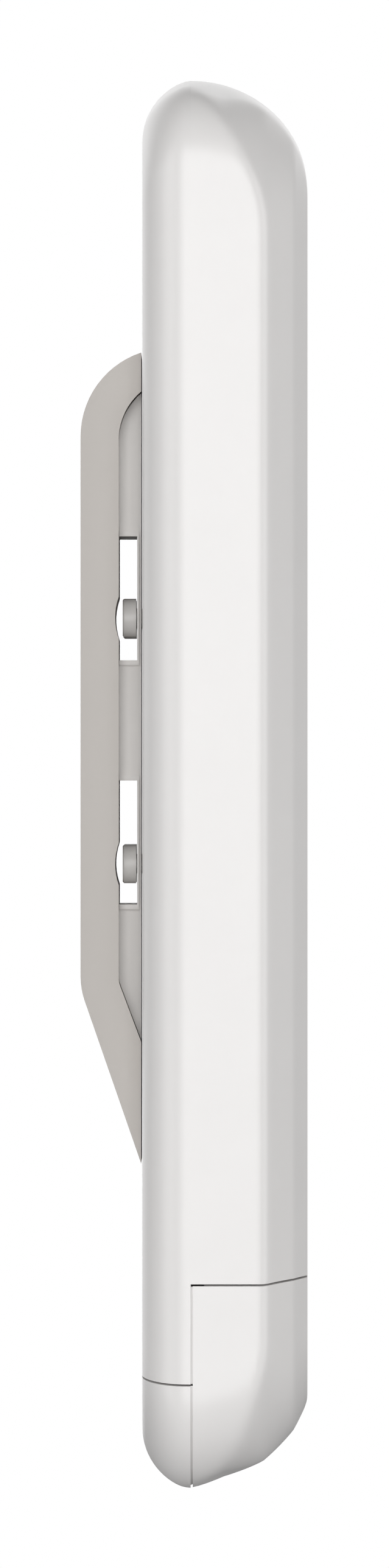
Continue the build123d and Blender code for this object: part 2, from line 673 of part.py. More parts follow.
def key_profile(margin=0.0):
    """Side view of the bracket's inner tier, grown by margin at its two ends."""
    with BuildSketch(Plane.YZ, mode=Mode.PRIVATE) as profile:
        with BuildLine():
            top, bottom = KEY_TOP + margin, KEY_BOTTOM - margin
            ThreePointArc((BRACKET_FRONT, top), (-10.9, 75.0 + margin), (TIER_Y, KEY_FLAT_TOP + margin))
            Line((TIER_Y, KEY_FLAT_TOP + margin), (TIER_Y, KEY_FLAT_BOTTOM - margin))
            Polyline((TIER_Y, KEY_FLAT_BOTTOM - margin), (BRACKET_FRONT, bottom), (BRACKET_FRONT, top))
        make_face()
        fillet(profile.vertices().sort_by_distance((TIER_Y, KEY_FLAT_BOTTOM - margin))[0], 4.0)
    return profile.sketch


def head_reliefs():
    """Shallow hollows across the tier boundary, opposite each stud head."""
    with BuildPart(mode=Mode.PRIVATE) as reliefs:
        with BuildSketch(Plane.YZ):
            for z in STUD_HEIGHTS:
                with BuildLine():
                    ThreePointArc((TIER_Y, z - 5.2), (TIER_Y + 0.9, z), (TIER_Y, z + 5.2))
                    Line((TIER_Y, z + 5.2), (TIER_Y, z - 5.2))
                make_face()
        extrude(amount=TRAY_HALF_WIDTH + 5, both=True)
    return reliefs.part


def make_bracket_wall_tray():
    """The outer tier: a hollow tray whose back rests on the wall or pole."""
    hollow = offset(tray_profile(), amount=-TRAY_WALL, mode=Mode.PRIVATE)
    with BuildPart() as bracket_wall_tray:
        extrude(tray_profile(), amount=TRAY_HALF_WIDTH, both=True)
        extrude(hollow, amount=TRAY_HALF_WIDTH - TRAY_WALL, both=True, mode=Mode.SUBTRACT)
        opening = key_profile(0.35)
        extrude(opening, amount=TRAY_HALF_WIDTH + 5, both=True, mode=Mode.SUBTRACT)
        add(head_reliefs(), mode=Mode.SUBTRACT)
        with BuildSketch(back_plane(0)):
            with GridLocations(WALL_SCREW_SPACING_X, WALL_SCREW_SPACING_Z, 2, 2):
                Circle(WALL_SCREW_RADIUS)
            with Locations(*BRACKET_SCREW_SPOTS):
                Circle(1.4)
        extrude(amount=TRAY_WALL + 1, mode=Mode.SUBTRACT)
        add(rods(BRACKET_SCREW_SPOTS, 2.9, 0.0, -1.6), mode=Mode.SUBTRACT)
    save(bracket_wall_tray.part, "bracket_wall_tray")


def make_bracket_key_plate():
    """The inner tier: keyholes for the studs and two strap passages right through its sides."""
    with BuildPart() as bracket_key_plate:
        extrude(key_profile(), amount=KEY_HALF_WIDTH, both=True)
        floor_top, floor_bottom = KEY_FLAT_TOP - 0.5, KEY_FLAT_BOTTOM + 0.5
        add(slab(2 * KEY_HALF_WIDTH, floor_bottom, floor_top, TIER_Y + KEY_FLOOR, TIER_Y - 0.5))
        for z in STRAP_SLOT_CENTRES:
            half = STRAP_SLOT_HEIGHT / 2 + STRAP_LIP
            width = 2 * (KEY_HALF_WIDTH + STRAP_LIP_PROUD)
            add(slab(width, z - half, z + half, TIER_Y - 0.1, BRACKET_FRONT + 0.5))
        for low_z, high_z in ((-61.0, -46.9), (-12.2, 12.6), (47.3, 67.0)):
            pocket = slab(2 * KEY_HALF_WIDTH - 6.0, low_z, high_z, TIER_Y + KEY_FLOOR, -12.5)
            add(pocket, mode=Mode.SUBTRACT)
        add(rods(BRACKET_SCREW_SPOTS, 3.6, -TRAY_WALL - 0.05, -13.0))
        add(rods(BRACKET_SCREW_SPOTS, 1.25, -TRAY_WALL, -11.0), mode=Mode.SUBTRACT)
        for z in STRAP_SLOT_CENTRES:
            half = STRAP_SLOT_HEIGHT / 2
            passage = slab(2 * KEY_HALF_WIDTH + 10, z - half, z + half, TIER_Y, BRACKET_FRONT + KEY_SHEET)
            add(passage, mode=Mode.SUBTRACT)
        for x, z in STUD_SPOTS:
            with BuildSketch(back_plane(TIER_Y - 1.0)):
                with Locations((x, z)):
                    Circle(STUD_NECK_RADIUS + 0.2)
                with Locations((x, z + STUD_TRAVEL / 2)):
                    Rectangle(2 * STUD_NECK_RADIUS + 0.4, STUD_TRAVEL)
                with Locations((x, z + STUD_TRAVEL)):
                    Circle(STUD_HEAD_RADIUS + 0.5)
            extrude(amount=10, mode=Mode.SUBTRACT)
        add(head_reliefs(), mode=Mode.SUBTRACT)
        with BuildSketch(back_plane(0)):
            with GridLocations(WALL_SCREW_SPACING_X, WALL_SCREW_SPACING_Z, 2, 2):
                Circle(DRIVER_ACCESS_RADIUS)
        extrude(amount=20, mode=Mode.SUBTRACT)
    save(bracket_key_plate.part, "bracket_key_plate")


def make_bracket_screws():
    """Four flat-head screws that hold the key plate in the tray."""
    with BuildPart() as bracket_screws:
        add(rods(BRACKET_SCREW_SPOTS, 2.8, -0.3, -1.55))
        add(rods(BRACKET_SCREW_SPOTS, 1.2, -1.55, -10.0))
        with BuildSketch(back_plane(-0.3)):
            with Locations(*BRACKET_SCREW_SPOTS):
                RegularPolygon(1.1, 6)
        extrude(amount=0.8, mode=Mode.SUBTRACT)
    save(bracket_screws.part, "bracket_screws")


def main():
    """Builds and writes every piece."""
    os.makedirs("parts", exist_ok=True)
    outer_front, outer_back = front_half(0), back_half(0)
    inner_front, inner_back = front_half(WALL), back_half(WALL)
    front_shell, back_shell = outer_front - inner_front, outer_back - inner_back
    make_front_radome(front_shell, outer_front)
    make_rear_housing(back_shell)
    make_housing_gasket()
    make_housing_screws()
    make_mount_studs()
    make_port_bulkhead(inner_front + inner_back)
    make_pressure_vent()
    make_main_board()
    make_small_screws("board_screws", BOARD_SCREW_SPOTS, BOARD_FRONT, -18.9)
    make_small_screws("reflector_screws", REFLECTOR_POSTS, REFLECTOR_FRONT, -33.0)
    make_jack("ethernet_jack_main", JACK_CENTRES[0])
    make_jack("ethernet_jack_secondary", JACK_CENTRES[1])
    make_jack_contacts()
    transformers = [(x, -106.0, 16.0, 12.0) for x in JACK_CENTRES]
    memory = [(x, -86.0, 10.0, 12.0) for x in (-6.0, 8.0)]
    chip_back = BOARD_BACK + 1.4
    make_board_blocks("lan_transformers", transformers, BOARD_FRONT, BOARD_FRONT - 6.0)
    make_board_blocks("memory_chips", memory, BOARD_FRONT, BOARD_FRONT - 1.2, 0.2)
    make_board_blocks("processor_chip", [(0.0, -80.0, 20.0, 20.0)], chip_back, BOARD_BACK, 0.3)
    make_board_blocks("thermal_pad", [(0.0, -80.0, 18.0, 18.0)], chip_back + 0.8, chip_back, 0.5)
    make_board_blocks("heat_spreader", [(0.0, -80.0, 90.0, 60.0)], chip_back + 2.4, chip_back + 0.8, 3.0)
    make_board_blocks("status_led", [(0.0, LIGHT_Z, 3.0, 3.0)], BOARD_FRONT, BOARD_FRONT - 1.4, 0.3)
    make_shield_can("shield_can_low_band", -30.0, -52.0)
    make_shield_can("shield_can_high_band", 28.0, -52.0)
    make_power_capacitors()
    make_reset_parts()
    make_light_pipe()
    make_antenna_reflector()
    make_antennas()
    make_antenna_spacers()
    make_coax_leads()
    make_port_cover_front(front_shell, outer_front)
    make_port_cover_rear(back_shell)
    make_cover_latch()
    make_cover_screws()
    make_cable_grommets(outer_front)
    make_bracket_wall_tray()
    make_bracket_key_plate()
    make_bracket_screws()


if __name__ == "__main__":
    main()
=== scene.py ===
"""Looks for an outdoor wireless access point on its curved pole-and-wall bracket.

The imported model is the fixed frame. Every size below is in millimetres unless its name says otherwise,
and every finished mesh is in metres with its object at the origin.
"""

import json
import logging
import math
from dataclasses import dataclass, field
from enum import Enum
from typing import Callable, Sequence

import bmesh
import bpy
import numpy as np
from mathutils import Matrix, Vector


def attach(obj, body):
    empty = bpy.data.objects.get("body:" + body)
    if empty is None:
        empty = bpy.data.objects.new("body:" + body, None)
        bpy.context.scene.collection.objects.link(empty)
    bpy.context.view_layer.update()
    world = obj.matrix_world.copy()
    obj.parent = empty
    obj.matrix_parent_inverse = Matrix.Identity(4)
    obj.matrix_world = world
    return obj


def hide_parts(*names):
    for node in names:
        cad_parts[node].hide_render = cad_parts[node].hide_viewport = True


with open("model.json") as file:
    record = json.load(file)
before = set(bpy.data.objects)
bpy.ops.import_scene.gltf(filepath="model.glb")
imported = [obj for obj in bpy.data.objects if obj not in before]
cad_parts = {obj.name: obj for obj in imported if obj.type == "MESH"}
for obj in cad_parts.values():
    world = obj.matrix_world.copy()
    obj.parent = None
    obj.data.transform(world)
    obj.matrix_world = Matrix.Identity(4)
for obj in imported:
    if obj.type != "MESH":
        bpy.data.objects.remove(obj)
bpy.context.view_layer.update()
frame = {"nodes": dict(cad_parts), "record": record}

LOG = logging.getLogger("access_point")
MM = 0.001
NODES = frame["nodes"]
BRUSH_STRETCH = 0.06
TRACE_SCALE = 90.0
TRACE_GAP = 0.035

# Where the fasteners and the cable boots are, seen from the front.
STUDS = [(x, z) for x in (-33.5, 33.5) for z in (25.2, -34.8)]
CASE_SCREWS = [(x, z) for x in (-68.0, 68.0) for z in (130.0, 8.0, -114.0)]
FOOT_SCREWS = [(-60.0, -166.0), (60.0, -166.0)]
PLATE_SCREWS = [(-34.0, 0.2), (34.0, 0.2), (0.0, 58.0), (0.0, -55.0)]
BOOTS = [(-22.0, -35.8), (22.0, -35.8)]


# ---------------------------------------------------------------------------------------- finishes
class Pattern(Enum):
    """How the colour of a finish wanders over its surface."""

    CLOUDED = "clouded"
    BRUSHED = "brushed"
    TRACES = "traces"


@dataclass(frozen=True)
class Finish:
    """One surface finish, made from procedural nodes on object coordinates; two of them also carry painted
    light or shade in their colour.
    """

    name: str
    colour: tuple[float, float, float]
    other: tuple[float, float, float]
    roughness: float = 0.4
    roughness_spread: float = 0.08
    metallic: float = 0.0
    cloud_size: float = 14.0
    grain_size: float = 0.35
    grain_depth: float = 0.012
    clear: float = 0.0
    glow: float = 0.0
    specular: float = 0.5
    pattern: Pattern = Pattern.CLOUDED

    def material(self) -> bpy.types.Material:
        """Builds the finish, or fetches it if it was built before.

        Returns:
            The material.
        """
        known = bpy.data.materials.get(self.name)
        if known:
            return known
        material = bpy.data.materials.new(self.name)
        material.use_nodes = True
        nodes, links = material.node_tree.nodes, material.node_tree.links
        shader = nodes["Principled BSDF"]
        shader.inputs["Metallic"].default_value = self.metallic
        shader.inputs["Specular IOR Level"].default_value = self.specular
        shader.inputs["Transmission Weight"].default_value = self.clear
        if self.glow:
            shader.inputs["Emission Color"].default_value = (*self.colour, 1.0)
            shader.inputs["Emission Strength"].default_value = self.glow
        place = nodes.new("ShaderNodeTexCoord")
        stretch = nodes.new("ShaderNodeMapping")
        drawn_out = BRUSH_STRETCH if self.pattern is Pattern.BRUSHED else 1.0
        stretch.inputs["Scale"].default_value = (1.0, 1.0, drawn_out)
        links.new(place.outputs["Object"], stretch.inputs["Vector"])
        cloud = self._noise(nodes, 1 / (self.cloud_size * MM), 3.0)
        grain = self._noise(nodes, 1 / (self.grain_size * MM), 2.0)
        links.new(stretch.outputs["Vector"], cloud.inputs["Vector"])
        links.new(stretch.outputs["Vector"], grain.inputs["Vector"])
        blend = nodes.new("ShaderNodeMix")
        blend.data_type = "RGBA"
        blend.inputs["A"].default_value = (*self.colour, 1.0)
        blend.inputs["B"].default_value = (*self.other, 1.0)
        links.new(self._weight(nodes, links, cloud, place), blend.inputs["Factor"])
        links.new(blend.outputs["Result"], shader.inputs["Base Color"])
        spread = nodes.new("ShaderNodeMapRange")
        spread.inputs["To Min"].default_value = self.roughness - self.roughness_spread
        spread.inputs["To Max"].default_value = self.roughness + self.roughness_spread
        links.new(grain.outputs["Fac"], spread.inputs["Value"])
        links.new(spread.outputs["Result"], shader.inputs["Roughness"])
        bump = nodes.new("ShaderNodeBump")
        bump.inputs["Distance"].default_value = self.grain_depth * MM
        bump.inputs["Strength"].default_value = 1.0
        links.new(grain.outputs["Fac"], bump.inputs["Height"])
        links.new(bump.outputs["Normal"], shader.inputs["Normal"])
        return material

    def _noise(self, nodes: bpy.types.Nodes, scale: float, detail: float) -> bpy.types.Node:
        """Adds a noise texture.

        Args:
            nodes: the material's nodes.
            scale: features per metre.
            detail: octaves.

        Returns:
            The noise node.
        """
        noise = nodes.new("ShaderNodeTexNoise")
        noise.inputs["Scale"].default_value = scale
        noise.inputs["Detail"].default_value = detail
        return noise

    def _weight(self, nodes: bpy.types.Nodes, links: bpy.types.NodeLinks, cloud: bpy.types.Node,
                place: bpy.types.Node) -> bpy.types.NodeSocket:
        """Chooses how much of the second colour shows.

        Args:
            nodes: the material's nodes.
            links: the material's links.
            cloud: the wandering noise.
            place: the texture coordinates.

        Returns:
            The socket that carries the weight.
        """
        if self.pattern is not Pattern.TRACES:
            return cloud.outputs["Fac"]
        cells = nodes.new("ShaderNodeTexBrick")
        cells.inputs["Scale"].default_value = TRACE_SCALE
        cells.inputs["Mortar Size"].default_value = TRACE_GAP
        turned = nodes.new("ShaderNodeMapping")
        turned.inputs["Rotation"].default_value = (math.pi / 2, 0.0, 0.0)
        links.new(place.outputs["Object"], turned.inputs["Vector"])
        links.new(turned.outputs["Vector"], cells.inputs["Vector"])
        return cells.outputs["Fac"]


SHELL = Finish("asa_shell", (0.805, 0.79, 0.78), (0.835, 0.82, 0.81), 0.36, 0.05, grain_depth=0.006)
# The tray's grey is darker than the key plate's, though both are the same bracket plastic: the darkening is
# painted shade for the shade the body casts on the tray.
BRACKET_PAINTED_SHADE = Finish("bracket_moulding_painted_shade", (0.53, 0.50, 0.47), (0.52, 0.49, 0.46), 0.46, 0.07, grain_depth=0.012)
KEY_PLATE = Finish(
    "key_plate_moulding", (0.80, 0.775, 0.75), (0.83, 0.805, 0.78), 0.46, 0.07, grain_depth=0.012)
STEEL = Finish("stainless_turned", (0.62, 0.61, 0.60), (0.72, 0.71, 0.70), 0.30, 0.10, 1.0, grain_depth=0.004)
# The studs are stainless but get a pale satin colour: partly the studs' own pale tone, partly raised to lift
# the shade that falls between tray and housing, which is painted light.
STUD_TONE_AND_LIGHT = Finish("stud_satin_painted_light", (0.80, 0.785, 0.765), (0.84, 0.825, 0.805), 0.42, 0.06, 0.0, grain_depth=0.006)
RUBBER = Finish("seal_rubber", (0.03, 0.03, 0.032), (0.05, 0.05, 0.052), 0.75, 0.1, grain_depth=0.03)
GROMMET = Finish("grommet_rubber", (0.09, 0.09, 0.095), (0.13, 0.13, 0.135), 0.68, 0.1, grain_depth=0.03)
BOARD = Finish("solder_mask", (0.02, 0.16, 0.06), (0.05, 0.27, 0.10), 0.35, 0.05, pattern=Pattern.TRACES)
BLACK = Finish("black_moulding", (0.03, 0.03, 0.034), (0.05, 0.05, 0.055), 0.5, 0.1)
TINNED = Finish("tinned_sheet", (0.68, 0.68, 0.66), (0.78, 0.78, 0.76), 0.32, 0.1, 1.0, pattern=Pattern.BRUSHED)
GOLD = Finish("gold_plate", (0.83, 0.62, 0.26), (0.9, 0.7, 0.34), 0.25, 0.06, 1.0)
ALUMINIUM = Finish(
    "aluminium_sheet", (0.76, 0.77, 0.78), (0.84, 0.85, 0.86), 0.38, 0.1, 1.0, pattern=Pattern.BRUSHED)
GEL = Finish("thermal_gel", (0.35, 0.42, 0.52), (0.40, 0.48, 0.58), 0.6, 0.1)
LENS = Finish("light_lens", (0.9, 0.92, 0.94), (0.95, 0.96, 0.97), 0.12, 0.03, clear=0.85)
LED = Finish("led_body", (0.95, 0.95, 0.9), (1.0, 1.0, 0.96), 0.3, 0.05, glow=0.3)
JACKET = Finish("coax_jacket", (0.05, 0.05, 0.05), (0.08, 0.08, 0.08), 0.5, 0.1)
NYLON = Finish("natural_nylon", (0.82, 0.8, 0.74), (0.88, 0.86, 0.8), 0.45, 0.08)
SLEEVE = Finish("capacitor_sleeve", (0.06, 0.06, 0.08), (0.09, 0.09, 0.12), 0.25, 0.06)
FLOOR = Finish(
    "studio_floor", (0.54, 0.54, 0.54), (0.56, 0.56, 0.56), 0.9, 0.03, cloud_size=900.0, specular=0.1)

SLOT_FINISH = {
    "radome_plastic": SHELL, "housing_plastic": SHELL, "bracket_plastic": BRACKET_PAINTED_SHADE, "stainless": STEEL,
    "seal_rubber": RUBBER, "grommet_rubber": GROMMET, "board_green": BOARD, "black_plastic": BLACK,
    "tinned_steel": TINNED, "gold_contact": GOLD, "aluminium_sheet": ALUMINIUM, "thermal_gel": GEL,
    "light_clear": LENS, "led_white": LED, "coax_jacket": JACKET, "spacer_nylon": NYLON, "cap_sleeve": SLEEVE,
}


# ------------------------------------------------------------------------------------ mesh helpers
def mesh_object(name: str, points: Sequence[Sequence[float]],
                faces: Sequence[Sequence[int]]) -> bpy.types.Object:
    """Makes a mesh object from points in millimetres.

    Args:
        name: the object's name.
        points: the vertices.
        faces: vertex numbers of each face.

    Returns:
        The linked object, with its faces turned outwards.
    """
    mesh = bpy.data.meshes.new(name)
    mesh.from_pydata((np.asarray(points, float) * MM).tolist(), [], [list(map(int, f)) for f in faces])
    work = bmesh.new()
    work.from_mesh(mesh)
    bmesh.ops.recalc_face_normals(work, faces=work.faces)
    work.to_mesh(mesh)
    work.free()
    piece = bpy.data.objects.new(name, mesh)
    bpy.context.scene.collection.objects.link(piece)
    return piece


def settle(piece: bpy.types.Object) -> bpy.types.Object:
    """Replaces a piece's mesh by its evaluated result and removes its modifiers.

    Args:
        piece: the object to settle.

    Returns:
        The same object.
    """
    graph = bpy.context.evaluated_depsgraph_get()
    final = bpy.data.meshes.new_from_object(piece.evaluated_get(graph))
    piece.modifiers.clear()
    piece.data = final
    return piece


def combine(piece: bpy.types.Object, cutter: bpy.types.Object, operation: str) -> bpy.types.Object:
    """Runs one exact boolean and settles it.

    Args:
        piece: the object that changes.
        cutter: the object used on it, which is left alone.
        operation: INTERSECT, UNION or DIFFERENCE.

    Returns:
        The changed piece.
    """
    step = piece.modifiers.new("cut", "BOOLEAN")
    step.object = cutter
    step.operation = operation
    step.solver = "EXACT"
    return settle(piece)


def discard(*tools: bpy.types.Object) -> None:
    """Removes helper objects.

    Args:
        tools: the objects that are no longer needed.
    """
    for tool in tools:
        bpy.data.objects.remove(tool, do_unlink=True)


def copy_of(piece: bpy.types.Object, name: str) -> bpy.types.Object:
    """Copies an object with its own mesh.

    Args:
        piece: the object to copy.
        name: the copy's name.

    Returns:
        The linked copy.
    """
    twin = bpy.data.objects.new(name, piece.data.copy())
    bpy.context.scene.collection.objects.link(twin)
    return twin


def prism(name: str, outline: Sequence[tuple[float, float]], start: float, end: float,
          axis: int) -> bpy.types.Object:
    """Extrudes a flat outline along one axis.

    Args:
        name: the object's name.
        outline: the corners, in the plane of the two other axes in order.
        start: where it begins along the axis.
        end: where it ends.
        axis: 0, 1 or 2.

    Returns:
        The closed solid.
    """
    count = len(outline)
    points = [list(np.insert(np.asarray(p, float), axis, level)) for level in (start, end) for p in outline]
    sides = [(i, (i + 1) % count, count + (i + 1) % count, count + i) for i in range(count)]
    return mesh_object(name, points, [tuple(range(count)), tuple(range(count, 2 * count))] + sides)


def disc(x: float, z: float, radius: float, count: int = 40) -> list[tuple[float, float]]:
    """Lists the corners of a circle.

    Args:
        x: first coordinate of the centre.
        z: second coordinate of the centre.
        radius: the radius.
        count: how many corners.

    Returns:
        The corners in order.
    """
    turns = [2 * math.pi * (i + 0.5) / count for i in range(count)]
    return [(x + radius * math.cos(t), z + radius * math.sin(t)) for t in turns]


def smooth(piece: bpy.types.Object, angle_deg: float = 32.0) -> None:
    """Shades a piece smooth, keeping edges sharper than an angle.

    Args:
        piece: the object to shade.
        angle_deg: the least angle that stays sharp.
    """
    piece.data.polygons.foreach_set("use_smooth", [True] * len(piece.data.polygons))
    piece.data.set_sharp_from_angle(angle=math.radians(angle_deg))


def dress(piece: bpy.types.Object, finish: Finish) -> None:
    """Gives a whole piece one finish.

    Args:
        piece: the object to dress.
        finish: its only finish.
    """
    piece.data.materials.clear()
    piece.data.materials.append(finish.material())


def fit(piece: bpy.types.Object, body: str, slot: str, *stands_for: str) -> None:
    """Hides the CAD nodes that a finished piece replaces and attaches it to its body.

    Args:
        piece: the finished object.
        body: the CAD body that it moves with.
        slot: the record's material slot; not used.
        stands_for: the CAD nodes that it replaces.
    """
    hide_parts(*stands_for)
    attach(piece, body)
    LOG.info("%s: %d faces on %s", piece.name, len(piece.data.polygons), body)


# --------------------------------------------------------------------------------------- the body
@dataclass
class BodyShell:
    """The tall body and its foot cover: a crowned tub whose face is framed by a wide bevel.

    The tub is a round box whose ends fall away towards the front and the back. The bevel is a second,
    tapering round box. The body is what lies inside both, with a slightly softened crease between them.
    """

    half_width: float = 90.5
    top: float = 156.8
    bottom: float = -186.2
    back: float = -15.05
    front: float = -55.1
    parting: float = -26.8
    crown: float = 4.2
    bevel_sag: float = 5.0
    top_corner: float = 16.5
    bottom_corner: float = 22.0
    top_nose: float = 26.0
    bottom_nose: float = 22.3
    back_drop: float = 14.4
    # How sharply each rounding turns: a higher power starts later and ends steeper.
    top_power: float = 2.0
    bottom_power: float = 1.5
    back_power: float = 1.6
    side_power: float = 2.1
    # The share of the rear depth over which the sides stay flat.
    side_flat: float = 0.08
    # Where the bow of the ends begins, and the height over which it grows.
    top_bow_start: float = 60.0
    top_bow_reach: float = 60.0
    foot_bow_start: float = -100.0
    foot_bow_reach: float = 50.0
    wall: float = 2.4
    seam: float = 0.5
    seam_front: float = -136.5
    seam_back: float = -160.7
    seam_arch: float = 3.2
    # Half of the seam's arch as a Bezier curve, in shares of the half width and of the arch.
    seam_control: tuple[tuple[float, float], ...] = ((1.0, 0.0), (0.75, 1.19), (0.44, 1.03), (0.0, 1.0))
    seam_points: int = 25
    crease_softness: float = 1.2
    lip_depth: float = 3.0
    lip_inset: float = 0.7
    lip_back: float = 2.1
    # How far a cut stays off a row of vertices, so that the two never share a plane.
    off_plane: float = 0.02
    bevel_under_top: float = 1.0
    bevel_over_foot: float = 3.3
    # A fall that puts the bevel clear of the body.
    no_bevel: float = -60.0
    # The bevel as (depth, fall from the side, corner radius, fall from the ends, crown).
    bevel: tuple[tuple[float, float, float, float, float], ...] = (
        (0.0, -21.5, 30.0, -6.5, 7.4), (8.0, -11.9, 28.0, -2.4, 6.6), (17.6, -0.4, 28.0, 0.3, 5.0),
        (25.0, 8.8, 20.0, 8.8, 4.4), (28.3, 15.6, 15.0, 15.6, 4.4))
    # Points round each outline and outlines in front of the parting plane.
    stations: int = 560
    levels: int = 34
    hidden_grid: tuple[int, int] = (200, 16)
    # Depths clear of the front, the back and the screw seats, where cutters may end.
    past_front: float = -80.0
    past_back: float = 0.0
    past_seats: float = -10.0
    # Screw seats as (radius, depth of the floor).
    case_seat: tuple[float, float] = (3.7, -17.85)
    foot_seat: tuple[float, float] = (2.9, -17.25)
    mouth_radius: float = 6.1
    # The latch's window as left, right, low and high.
    latch_window: tuple[float, float, float, float] = (-8.3, 8.3, -170.8, -163.6)
    # The status light's slot: height of its centre, half the straight run, end radius.
    light_slot: tuple[float, float, float] = (-104.0, 3.5, 1.55)
    middle: float = -14.7
    # How outlines are found: crowding of points and levels, the farthest search and its halvings.
    level_power: float = 0.9
    aim_power: float = 0.55
    reach: float = 260.0
    halvings: int = 40

    @staticmethod
    def eased(step: np.ndarray, power: float) -> np.ndarray:
        """Tells how far a rounded end has fallen at a share of its depth.

        Args:
            step: the share of the depth, from 0 to 1.
            power: how late the fall begins.

        Returns:
            The share of the whole fall, from 0 to 1.
        """
        return 1.0 - np.sqrt(np.clip(1.0 - step**power, 0.0, 1.0))

    @staticmethod
    def round_box(x: np.ndarray, z: np.ndarray, half: np.ndarray, top: np.ndarray, bottom: np.ndarray,
                  top_round: np.ndarray, bottom_round: np.ndarray) -> np.ndarray:
        """Measures how far points are outside a rectangle with round corners.

        Args:
            x: across.
            z: up.
            half: half the width.
            top: the top edge.
            bottom: the bottom edge.
            top_round: radius of the top corners.
            bottom_round: radius of the bottom corners.

        Returns:
            The distance, negative inside.
        """
        centre = (top + bottom) / 2
        corner = np.where(z > centre, top_round, bottom_round)
        out_x = np.abs(x) - half + corner
        out_z = np.abs(z - centre) - (top - bottom) / 2 + corner
        beyond = np.hypot(np.maximum(out_x, 0), np.maximum(out_z, 0))
        return beyond + np.minimum(np.maximum(out_x, out_z), 0) - corner

    def outside(self, x: np.ndarray, y: np.ndarray, z: np.ndarray) -> np.ndarray:
        """Measures how far points are outside the body's section at their own depth.

        Args:
            x: across.
            y: depth.
            z: up.

        Returns:
            The distance, negative inside.
        """
        ahead = np.clip((self.parting - y) / (self.parting - self.front), 0, 1)
        behind = np.clip((y - self.parting) / (self.back - self.parting), 0, 1)
        drop = self.back_drop * self.eased(behind, self.back_power)
        side_step = np.clip((behind - self.side_flat) / (1 - self.side_flat), 0, 1)
        side_drop = self.back_drop * self.eased(side_step, self.side_power)
        near_top = np.clip((z - self.top_bow_start) / self.top_bow_reach, 0, 1)
        bow = (x / self.half_width) ** 2
        crowned = z + self.crown * bow * near_top
        near_foot = np.clip((self.foot_bow_start - z) / self.foot_bow_reach, 0, 1)
        tub = self.round_box(
            x, crowned, self.half_width - side_drop,
            self.top - self.top_nose * self.eased(ahead, self.top_power) - drop,
            self.bottom + self.bottom_nose * self.eased(ahead, self.bottom_power) + drop,
            self.top_corner, self.bottom_corner)
        depths, *columns = (np.array(column) for column in zip(*self.bevel))
        depth = ahead * (self.parting - self.front)
        fall, corner, ends, arch = (np.interp(depth, depths, column) for column in columns)
        fall = np.where(behind > 0, self.no_bevel, fall)
        arched = crowned + bow * (arch * near_top - self.bevel_sag * near_foot)
        frame_cut = self.round_box(
            x, arched, self.half_width - fall, self.top - ends - self.bevel_under_top,
            self.bottom + ends + self.bevel_over_foot, corner, corner)
        soft = np.clip(1 - np.abs(tub - frame_cut) / self.crease_softness, 0, 1)
        return np.maximum(tub, frame_cut) + soft**2 * self.crease_softness / 4

    def solid(self, name: str, inset: float, stations: int, levels: int) -> bpy.types.Object:
        """Builds the whole body as one closed skin of stacked outlines.

        Args:
            name: the object's name.
            inset: how far the skin is moved inwards.
            stations: points round each outline.
            levels: outlines in front of the parting plane.

        Returns:
            The closed solid.
        """
        front_y, back_y = self.front + inset, self.back - inset
        ease = np.sin(np.linspace(0, 1, levels) ** self.level_power * math.pi / 2)
        rear = np.sin(np.linspace(0, 1, levels // 2) * math.pi / 2)
        rows = np.concatenate([self.parting + rear[::-1] * (back_y - self.parting),
                               self.parting + ease[1:] * (front_y - self.parting)])
        scale = np.where(rows > self.parting, (self.back - self.parting) / (back_y - self.parting),
                         (self.front - self.parting) / (front_y - self.parting))
        turns = 2 * math.pi * np.arange(stations) / stations
        aim_x, aim_z = np.cos(turns), np.sin(turns)
        aim_x = np.sign(aim_x) * np.abs(aim_x) ** self.aim_power * self.half_width
        aim_z = np.sign(aim_z) * np.abs(aim_z) ** self.aim_power * (self.top - self.bottom) / 2
        size = np.hypot(aim_x, aim_z)
        aim_x, aim_z = aim_x / size, aim_z / size
        depth = (self.parting + (rows - self.parting) * scale)[:, None] + 0 * aim_x[None, :]
        low, high = np.zeros(depth.shape), np.full(depth.shape, self.reach)
        for _ in range(self.halvings):
            mid = (low + high) / 2
            is_out = self.outside(mid * aim_x, depth, self.middle + mid * aim_z) + inset > 0
            high, low = np.where(is_out, mid, high), np.where(is_out, low, mid)
        across, up = low * aim_x, self.middle + low * aim_z
        points = np.stack([across, rows[:, None] + 0 * across, up], -1).reshape(-1, 3)
        count = len(rows)
        faces = [tuple(range(stations)), tuple((count - 1) * stations + i for i in range(stations))]
        for start in range(0, (count - 1) * stations, stations):
            for i in range(stations):
                j = (i + 1) % stations
                faces.append((start + i, start + j, start + stations + j, start + stations + i))
        return mesh_object(name, points, faces)

    def seam_line(self, side: float) -> list[tuple[float, float]]:
        """Lists the low arch of a seam across the body, from left to right.

        Args:
            side: the seam's height at both sides.

        Returns:
            Points as (x, z).
        """
        half = []
        for share in np.linspace(0, 1, self.seam_points):
            weights = [(1 - share) ** 3, 3 * share * (1 - share) ** 2, 3 * share**2 * (1 - share), share**3]
            across, up = (sum(w * c[i] for w, c in zip(weights, self.seam_control)) for i in (0, 1))
            half.append((self.half_width * across, side + self.seam_arch * up))
        return [(-x, z) for x, z in half] + half[::-1][1:]

    def region(self, side: float, gap: float, start: float, end: float, is_above: bool) -> bpy.types.Object:
        """Makes the block of space that one piece of the body is cut from.

        Args:
            side: the seam's height at both sides.
            gap: how far the block stops short of the seam.
            start: its first depth.
            end: its last depth.
            is_above: whether it is above the seam.

        Returns:
            The block.
        """
        lift, far = (gap, self.reach) if is_above else (-gap, -self.reach)
        line = [(x, z + lift) for x, z in self.seam_line(side)]
        wide = self.half_width + 30.0
        ends = [(wide, line[-1][1]), (wide, far), (-wide, far), (-wide, line[0][1])]
        return prism("region", line + ends, start, end, 1)

